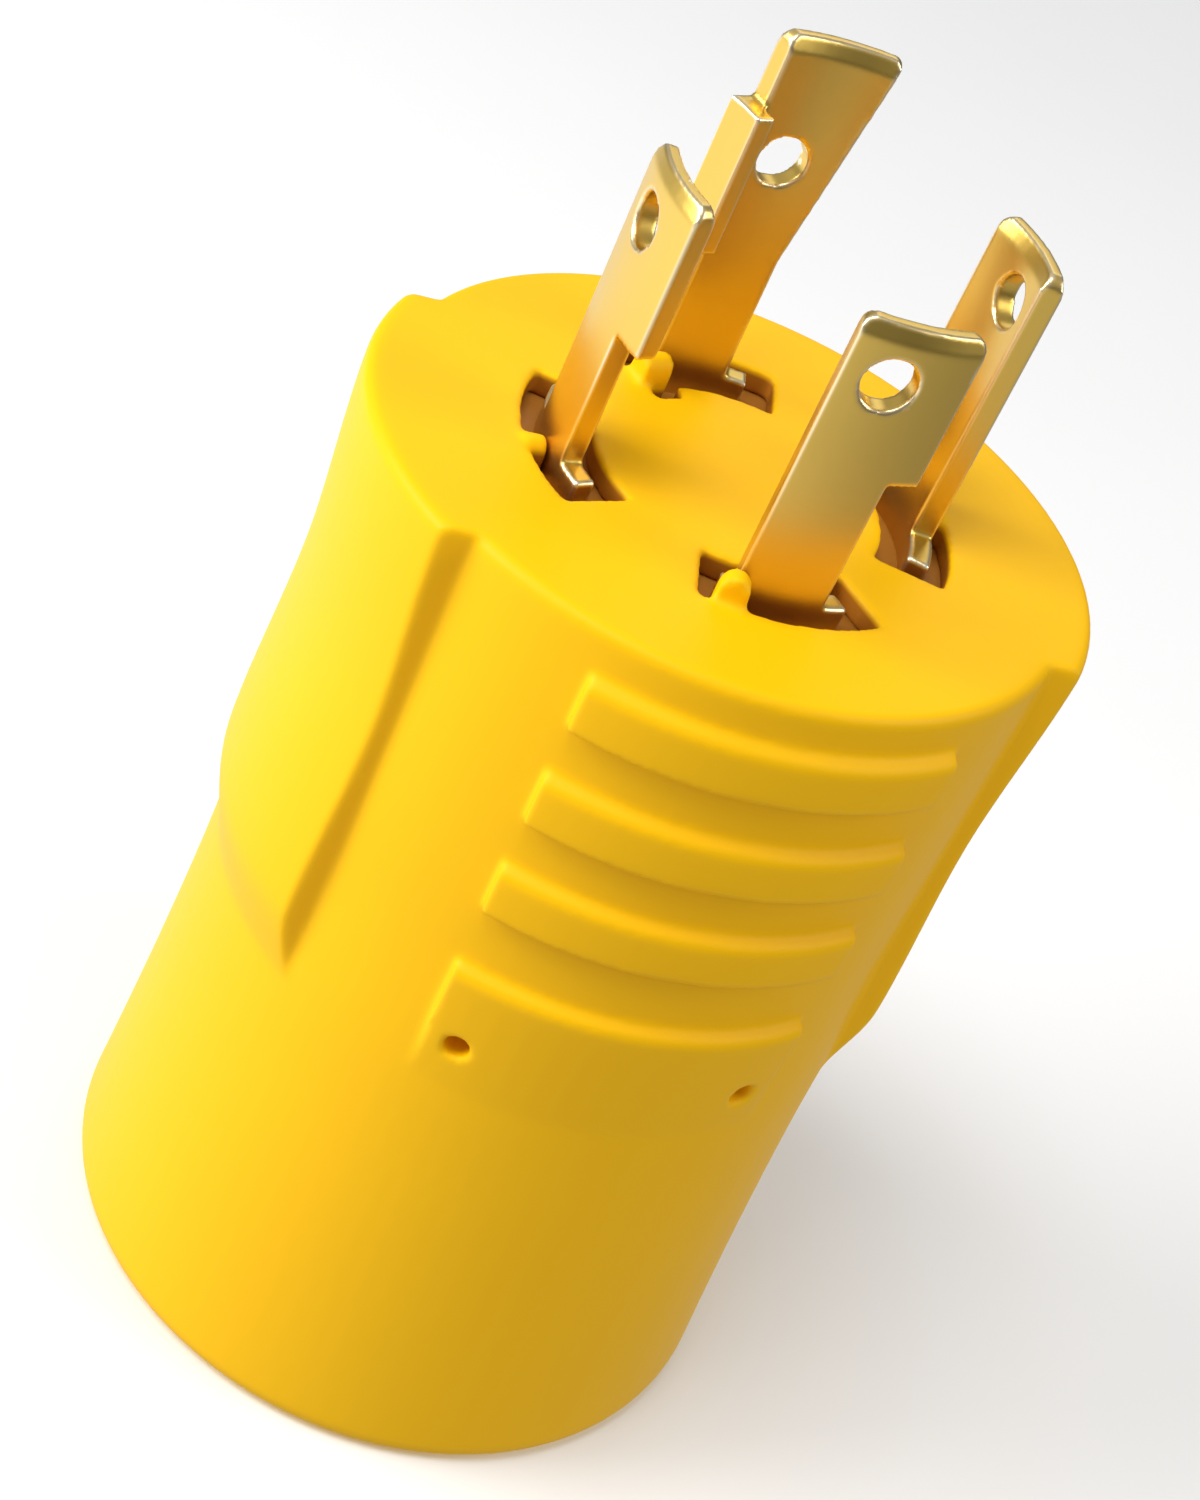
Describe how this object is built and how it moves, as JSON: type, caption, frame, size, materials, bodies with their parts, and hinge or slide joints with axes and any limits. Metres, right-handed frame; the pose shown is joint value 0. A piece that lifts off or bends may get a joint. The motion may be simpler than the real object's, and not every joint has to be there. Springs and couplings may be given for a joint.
{
  "type": "adapter plug",
  "caption": "One-piece moulded power adapter: a round body with grip ribs, curved locking brass blades on one end and a slotted receptacle in the other.",
  "frame": {"origin": "centre of the receptacle end, on the plane that the part stands on", "axes": "+Z along the body's axis towards the blades, the ribbed grip panels on -Y and +Y, the raised side wings on -X and +X"},
  "size_m": [0.054, 0.054, 0.1027],
  "materials": {
    "yellow_pvc": "satin moulded PVC",
    "carrier_nylon": "moulded nylon",
    "insert_pbt": "moulded PBT",
    "blade_brass": "bright stamped brass",
    "contact_brass": "spring brass",
    "copper_wire": "bare copper",
    "black_insulation": "extruded PVC",
    "white_insulation": "extruded PVC",
    "green_insulation": "extruded PVC"
  },
  "bodies": {
    "root": {"moulded_body": "yellow_pvc", "blade_carrier": "carrier_nylon", "receptacle_insert": "insert_pbt", "contact_cover": "insert_pbt", "line_blade_x": "blade_brass", "line_blade_y": "blade_brass", "neutral_blade": "blade_brass", "ground_blade": "blade_brass", "line_contact": "contact_brass", "neutral_contact": "contact_brass", "ground_contact": "contact_brass", "line_conductor": "copper_wire", "neutral_conductor": "copper_wire", "ground_conductor": "copper_wire", "line_insulation": "black_insulation", "neutral_insulation": "white_insulation", "ground_insulation": "green_insulation"}
  },
  "joints": []
}
